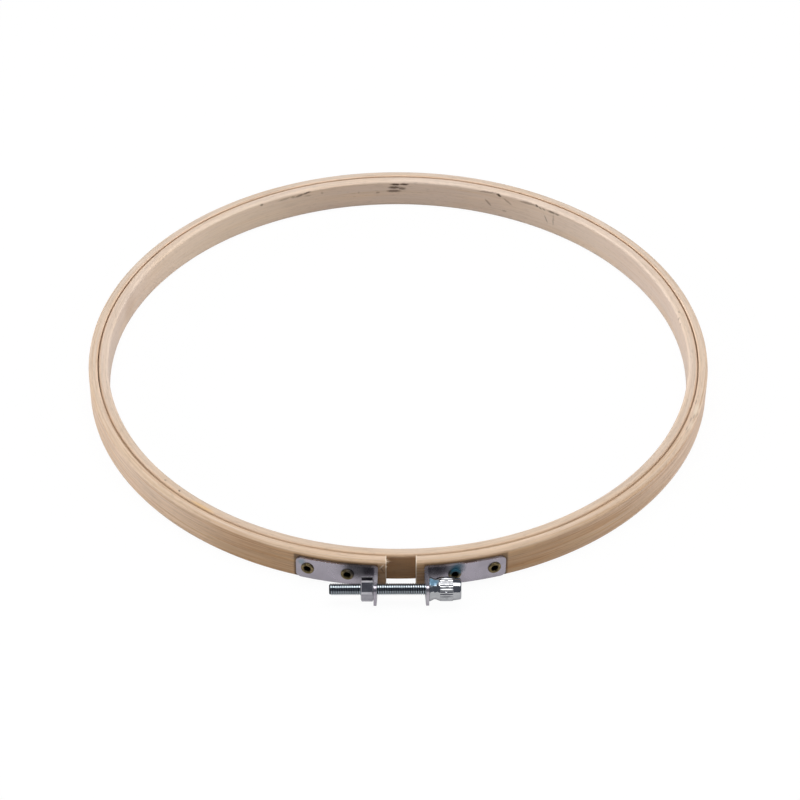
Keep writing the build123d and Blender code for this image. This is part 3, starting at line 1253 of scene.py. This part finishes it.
@dataclass
class ClampHardware:
    """The bent strips on both sides, their hollow rivets and the nut."""

    seat: float = 111.65
    rivet_height: float = RIVET_HEIGHT
    first_arc: float = INNER_RIVET_ARC
    second_arc: float = OUTER_RIVET_ARC
    ring_radius: float = HOOP_RADIUS
    rim_base: float = 4.38
    rim_height: float = 0.62
    rim: float = 2.3
    bore: float = RIVET_BORE
    shank: float = 1.5
    head: float = 2.8
    head_thickness: float = 0.6
    soft_edge: float = 0.06
    facets: int = 48
    strip_edge: float = 0.14
    nut_edge: float = 0.24

    def bracket(self, side: Side, material: Material) -> Piece:
        """Eases the edges of one bent strip.

        Args:
            side: which half of the clamp.
            material: its finish.

        Returns:
            The strip.
        """
        word = side.name.lower()
        piece = eased(node_copy(word + "_strip", word + "_bracket"), self.strip_edge)
        piece.data.materials.append(material)
        return piece

    def rivets(self, side: Side, material: Material) -> Piece:
        """Turns one rivet and sets two of them through the strip and the ring.

        Args:
            side: which half of the clamp.
            material: their finish.

        Returns:
            Both rivets as one mesh.
        """
        t = Shape("rivet pair")
        facets = t.size("Facets", self.facets)
        edge, seat, height = t.sizes(edge=self.soft_edge, seat=self.seat, height=self.rivet_height)
        first, step = t.sizes(
            1.0,
            first_turn=side.value * self.first_arc / self.ring_radius,
            turn_between=side.value * (self.second_arc - self.first_arc) / self.ring_radius,
        )
        feeds = {"Geometry": t.turned(facets, edge), "Translation": t.xyz(0.0, 0.0, seat)}
        body = t.out("GeometryNodeTransform", feeds)
        spin = t.spun(first + step * t.out("GeometryNodeInputIndex"))
        pair = t.set_out(2, t.xyz(0.0, 0.0, height), body, spin)
        lip = (self.bore + 0.12, self.rim_base + 0.1)
        crown = ((self.bore + self.rim) / 2 + 0.05, self.rim_base + self.rim_height)
        outer = (self.rim, self.rim_base + 0.08)
        line = [
            (0, 0), (self.head, 0), (self.head, self.head_thickness),
            (self.shank, self.head_thickness), (self.shank, self.rim_base),
            (self.rim - 0.1, self.rim_base), outer, *arc_line(outer, crown, lip, 9), lip,
            (self.bore, self.rim_base - 0.5), (self.bore, self.head_thickness),
            (0, self.head_thickness),
        ]
        return grow(side.name.lower() + "_rivets", t.close(pair, material), line)

    def build(self) -> None:
        """Builds and dresses the strips, rivets and nut."""
        stains_and_light = (
            # Painted dark reflections on the strips beside the ears
            StainAndLight((-14.0, -115.6, 10.3), 7.5, Soil.GRIME, 0.9, 0.3),
            StainAndLight((11.6, -115.9, 10.0), 6.5, Soil.GRIME, 0.7, 0.3),
            # Painted highlights on the ears, pale and matt
            StainAndLight((-8.4, -121.5, 6.5), 5.6, Soil.RUBBED, 0.95, 0.6),
            StainAndLight((8.2, -123.0, 6.0), 6.0, Soil.RUBBED, 0.6, 0.2),
            StainAndLight((18.7, -115.9, 8.4), 4.0, Soil.TEAL, 0.98),
            StainAndLight((9.9, -119.0, 8.4), 2.6, Soil.TEAL, 0.8),
            StainAndLight((-34.0, -110.9, 8.6), 1.8, Soil.PALE_TEAL, 0.45),
        )
        strip = Metal(
            "zinc plated strip", (0.46, 0.425, 0.485), (0.41, 0.38, 0.43), 0.27, 5.0, 0.5,
            stains_and_light=stains_and_light,
        ).make()
        brass = Metal(
            "aged brass", (0.31, 0.245, 0.13), (0.13, 0.095, 0.045), 0.36, 1.4, 0.3,
            stains_and_light=stains_and_light, dark_bore=self.bore,
        ).make()
        nut_finish = Metal(
            "plated nut", (0.40, 0.39, 0.425), (0.32, 0.315, 0.35), 0.16, 3.0, 0.4, painted_edge_lighting=EdgeHighlight(),
        ).make()
        for side, body in ((Side.LEFT, Body.LEFT_CLAMP), (Side.RIGHT, Body.OUTER_FRAME)):
            word = side.name.lower()
            placed(self.bracket(side, strip), body, "zinc_plated_strip", word + "_bracket")
            pair = (f"rivet_{word}_inner", f"rivet_{word}_outer")
            placed(self.rivets(side, brass), body, "aged_brass", *pair)
        nut = eased(node_copy("hexagon_nut", "nut"), self.nut_edge, 20.0)
        nut.data.materials.append(nut_finish)
        placed(nut, Body.LEFT_CLAMP, "zinc_plated_nut", "nut")


@dataclass
class Screw:
    """The threaded rod and the knurled knob on it."""

    outward: float = SCREW_OUTWARD
    height: float = SCREW_HEIGHT
    radius: float = 1.98
    pitch: float = 0.79375
    depth: float = 0.30
    chamfer: float = 0.5
    columns: int = 40
    rows_beyond: int = 6
    collar: float = 4.15
    land: float = 0.35
    taper: float = 1.2
    neck: float = 3.5
    neck_length: float = 0.4
    flare: float = 1.65
    shoulder: float = 4.0
    knurl_length: float = 4.35
    knurl: float = 4.1
    crown: float = 0.07
    flutes: int = 28
    flute: float = 0.42
    flute_depth: float = 0.17
    rim_length: float = 2.8
    rim: float = 3.92
    end: float = 3.55
    end_wall: float = 1.3
    soft_edge: float = 0.1

    def axis(self, t: Shape) -> Wire:
        """Adds the size that says where the screw's axis is."""
        return t.size("Axis", (0.0, -self.outward * MM, self.height * MM))

    def rod(self, material: Material) -> Piece:
        """Rolls the thread: a grid whose rows follow one helix from end to end.

        Args:
            material: its finish.

        Returns:
            The rod.
        """
        low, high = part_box("screw_rod")
        t = Shape("threaded rod")
        # Four rows to a turn: the root's two edges, then the crest's two edges
        to_turn = 4
        turns = math.ceil((high.x - low.x) / MM / self.pitch) + self.rows_beyond
        rows = t.size("Rows", to_turn * turns + 1)
        columns = t.size("Columns", self.columns + 1)
        radius, depth, pitch, chamfer = t.sizes(
            radius=self.radius, thread_depth=self.depth, pitch=self.pitch, chamfer=self.chamfer
        )
        start, end = t.sizes(1.0, start=low.x, end=high.x)
        feeds = {"Size X": 1.0, "Size Y": 1.0, "Vertices X": rows, "Vertices Y": columns}
        grid = t.node("GeometryNodeMeshGrid", feeds)
        u, v, _ = t.split(Wire(t, grid.outputs["UV Map"]))
        row = t.math("ROUND", u * (rows - 1.0))
        step = row % float(to_turn)
        crest = step > 1.5
        along = row * (1 / to_turn) - crest * 0.06 + (step > 2.5) * 0.12 + v
        raw = start + (along - self.rows_beyond / 2) * pitch
        x = t.math("MINIMUM", t.math("MAXIMUM", raw, start), end)
        from_end = t.math("MINIMUM", x - start, end - x)
        out = t.math("MINIMUM", radius - depth + crest * depth, radius - chamfer + from_end)
        beyond = t.math("MAXIMUM", start - raw, raw - end) > pitch * 0.32
        out = out * (1.0 - beyond)
        turn = v * math.tau
        place = t.xyz(x, out * t.math("COSINE", turn), out * t.math("SINE", turn))
        mesh = t.moved(Wire(t, grid.outputs["Mesh"]), t.vector("ADD", place, self.axis(t)))
        return grow("threaded_rod", t.close(mesh, material))

    def fluted(self, t: Shape, mesh: Wire, start: float, end: float) -> Wire:
        """Presses straight flutes into a turned band.

        Args:
            t: the tree.
            mesh: the turned mesh, still round the Z axis.
            start: where the band starts.
            end: where it ends.

        Returns:
            The fluted mesh.
        """
        flutes = t.size("Flutes", float(self.flutes))
        flute, depth, band, band_start, band_end = t.sizes(
            flute_radius=self.flute, flute_depth=self.flute_depth,
            band_radius=self.knurl + self.crown, band_start=start, band_end=end,
        )
        x, y, z = t.split(t.position())
        out = t.span(x, y)
        pitch = math.tau / flutes
        centre = band - depth + flute
        aside = (t.math("ARCTAN2", y, x) % pitch - pitch * 0.5) * centre
        inside = t.math("MAXIMUM", flute * flute - aside * aside, 0.0)
        groove = centre - t.math("SQRT", inside)
        pressed = t.math("MINIMUM", out, groove) / t.math("MAXIMUM", out, 0.01 * MM)
        hair = 0.001 * MM
        in_band = (z > band_start - hair) * (z < band_end + hair) * (out > band - 2 * depth)
        return t.moved(mesh, t.xyz(x * pressed, y * pressed, z), in_band)

    def knob(self, material: Material) -> Piece:
        """Turns the knob and flutes its band.

        Args:
            material: its finish.

        Returns:
            The knob.
        """
        low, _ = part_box("knob")
        start = low.x / MM
        stations = [start]
        stations += [self.land, self.taper, self.neck_length, self.flare]
        stations += [self.knurl_length, self.rim_length]
        stations = list(accumulate(stations))
        _, taper, neck, flare, knurl, rim, end = stations
        t = Shape("knurled knob")
        facets = t.size("Facets", self.flutes * 8)
        (edge,) = t.sizes(edge=self.soft_edge)
        mesh = self.fluted(t, t.turned(facets, edge), knurl, rim)
        lie_down = (0.0, math.pi / 2, 0.0)
        set_out = {"Geometry": mesh, "Translation": self.axis(t), "Rotation": lie_down}
        mesh = t.out("GeometryNodeTransform", set_out)
        bore, bottom = self.radius + 0.03, end - self.end_wall
        swept = []
        for share in (i / 8 for i in range(1, 8)):
            widening = share * share * (3 - 2 * share)
            radius = self.neck + (self.shoulder - self.neck) * widening
            swept.append((radius, flare + self.flare * share))
        knurl_start, knurl_end = (self.knurl, knurl), (self.knurl, rim)
        middle = (self.knurl + self.crown, (knurl + rim) / 2)
        line = [
            (0, bottom), (bore, bottom), (bore, start), (self.collar, start), (self.collar, taper),
            (self.neck, neck), (self.neck, flare), *swept, (self.shoulder, knurl), knurl_start,
            *arc_line(knurl_start, middle, knurl_end, 6), knurl_end, (self.rim, rim),
            (self.end + 0.02, end - 0.35), (self.end - 0.12, end - 0.1), (self.end - 0.38, end),
            (0, end),
        ]
        return grow("knurled_knob", t.close(mesh, material), line)

    def build(self) -> None:
        """Builds and dresses the rod and the knob."""
        thread = Metal(
            "zinc plated thread", (0.49, 0.55, 0.60), (0.41, 0.46, 0.505), 0.18, 3.0, 0.3,
            along=(3.0, 0.4, 0.4), dark_within=self.radius - 0.08,
        ).make()
        bloom = (StainAndLight((10.7, -122.2, 9.8), 2.2, Soil.BLUE, 0.85),)
        plating = Metal(
            "bright plating", (0.56, 0.565, 0.585), (0.48, 0.49, 0.51), 0.08, 3.0, 0.4, 0.002,
            stains_and_light=bloom,
        ).make()
        placed(self.rod(thread), Body.SCREW, "zinc_plated_thread", "screw_rod")
        placed(self.knob(plating), Body.SCREW, "bright_plating", "knob")


# ---------------------------------------------------------------- studio


@dataclass
class Studio:
    """The pale floor, the soft light and the camera at the photograph's angle."""

    focal_length: float = 113.451
    film: float = 36.0
    eye: Triple = (-7.91, -731.18, 602.57)
    ahead: Triple = (0.00905, 0.76485, -0.64415)
    right: Triple = (0.99995, -0.00911, 0.00323)
    floor_half: float = 3.0
    floor_drop: float = 0.0003
    paper: float = 0.5
    glow: float = 1.06
    camera_share: float = 0.9
    mirror_share: float = 0.45
    front_sky: float = 0.12
    side_sky: float = 3.85
    left_lean: float = 0.09
    lamp_power: float = 6.1
    lamp_width: float = 1.15
    lamp_depth: float = 0.55
    lamp_place: Triple = (0.0, -0.05, 0.9)
    surround_columns: int = 48
    surround_radius: float = 1.6
    surround_lifts: tuple[int, ...] = (3, 15, 30, 45, 60, 72)
    surround_colour: Triple = (0.10, 0.11, 0.13)

    def camera(self) -> None:
        """Sets the camera up."""
        lens = bpy.data.cameras.new("camera")
        lens.lens = self.focal_length
        lens.sensor_width = self.film
        lens.clip_start = 0.01
        lens.clip_end = 50.0
        piece = new_piece("camera", lens)
        ahead = Vector(self.ahead).normalized()
        up = Vector(self.right).normalized().cross(ahead).normalized()
        turn = Matrix((ahead.cross(up), up, -ahead)).transposed().to_4x4()
        turn.translation = Vector(self.eye) * MM
        piece.matrix_world = turn
        bpy.context.scene.camera = piece

    def seen(self, t: Tree, camera: float = 1.0, mirror: float = 1.0) -> Wire:
        """Wires up how much of the plain white background each kind of ray sees.

        Args:
            t: the tree of the floor or the world.
            camera: its share for camera rays.
            mirror: its share for glossy and transmission rays.

        Returns:
            The share.
        """
        path = t.node("ShaderNodeLightPath")
        names = ("Is Camera Ray", "Is Glossy Ray", "Is Transmission Ray")
        seen, glossy, through = (Wire(t, path.outputs[name]) for name in names)
        return t.math("MAXIMUM", seen * camera, t.math("MAXIMUM", glossy, through) * mirror)

    def floor(self) -> None:
        """Lays the floor, which glows white to the camera and keeps a soft shadow."""
        half = self.floor_half
        mesh = bpy.data.meshes.new("floor")
        sides = ((-half, -half), (half, -half), (half, half), (-half, half))
        mesh.from_pydata([(x, y, -self.floor_drop) for x, y in sides], [], [(0, 1, 2, 3)])
        piece = new_piece("floor", mesh)
        material = bpy.data.materials.new("white floor")
        t = bare_tree(material)
        paper = t.out("ShaderNodeBsdfDiffuse", {"Color": opaque((self.paper,) * 3)})
        glow = t.out("ShaderNodeEmission", {"Color": WHITE, "Strength": self.glow})
        share = self.seen(t, self.camera_share, self.mirror_share)
        mixed = t.out("ShaderNodeMixShader", {0: share, 1: paper, 2: glow})
        t.node("ShaderNodeOutputMaterial", {"Surface": mixed})
        mesh.materials.append(material)

    def world(self) -> None:
        """Sets a soft sky that is strong from both sides and plain white where it is seen."""
        world = bpy.data.worlds.new("soft sky")
        bpy.context.scene.world = world
        t = bare_tree(world)
        x, _, z = t.split(t.out("ShaderNodeTexCoord", output="Generated"))
        sides = t.ramp(t.math("ABSOLUTE", x), 0.2, 1.0) * t.ramp(z, 0.7, 0.1)
        strength = sides * (1.0 - x * self.left_lean) * (self.side_sky - self.front_sky)
        feeds = {"Color": WHITE, "Strength": strength + self.front_sky}
        sky = t.out("ShaderNodeBackground", feeds)
        white = t.out("ShaderNodeBackground", {"Color": WHITE, "Strength": 1.0})
        mixed = t.out("ShaderNodeMixShader", {0: self.seen(t), 1: sky, 2: white})
        t.node("ShaderNodeOutputWorld", {"Surface": mixed})

    def lamp(self) -> None:
        """Hangs one soft area lamp over the hoop, pointing at it."""
        light = bpy.data.lights.new("overhead_lamp", "AREA")
        light.shape = "RECTANGLE"
        light.size, light.size_y = self.lamp_width, self.lamp_depth
        light.energy = self.lamp_power
        piece = new_piece("overhead_lamp", light)
        spot = Vector(self.lamp_place)
        turn = spot.to_track_quat("Z", "Y").to_matrix().to_4x4()
        piece.matrix_world = Matrix.Translation(spot) @ turn

    def dark_surround(self) -> None:
        """Stands a low dark wall all round the hoop, which only shows in the metal.

        Between it and the overhead lamp metal gets its dark bands; the floor below it stays white.
        """
        columns, rows = self.surround_columns, len(self.surround_lifts)
        mesh = bpy.data.meshes.new("dark_surround")
        points, faces = [], []
        for i in range(columns):
            turn = math.tau * i / columns
            for up in map(math.radians, self.surround_lifts):
                flat = self.surround_radius * math.cos(up)
                rise = self.surround_radius * math.sin(up)
                points.append((flat * math.sin(turn), -flat * math.cos(turn), rise))
        for i in range(columns):
            here, there = rows * i, rows * ((i + 1) % columns)
            faces += [(here + j, here + j + 1, there + j + 1, there + j) for j in range(rows - 1)]
        mesh.from_pydata(points, [], faces)
        piece = new_piece("dark_surround", mesh)
        material = bpy.data.materials.new("dark surround")
        t = bare_tree(material)
        dark = {"Color": opaque(self.surround_colour), "Strength": 1.0}
        t.node("ShaderNodeOutputMaterial", {"Surface": t.out("ShaderNodeEmission", dark)})
        mesh.materials.append(material)
        piece.visible_camera = piece.visible_diffuse = False
        piece.visible_shadow = piece.visible_transmission = False

    def build(self) -> None:
        """Sets up the whole studio."""
        self.camera()
        self.floor()
        self.world()
        self.dark_surround()
        self.lamp()


def main() -> None:
    """Builds the hoop and its studio."""
    logging.basicConfig(level=logging.INFO, format="%(name)s: %(message)s")
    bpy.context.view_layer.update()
    Studio().build()
    BambooRings().build()
    ClampHardware().build()
    Screw().build()
    scene = bpy.context.scene
    scene.view_settings.view_transform = "Standard"


if __name__ == "__main__":
    main()
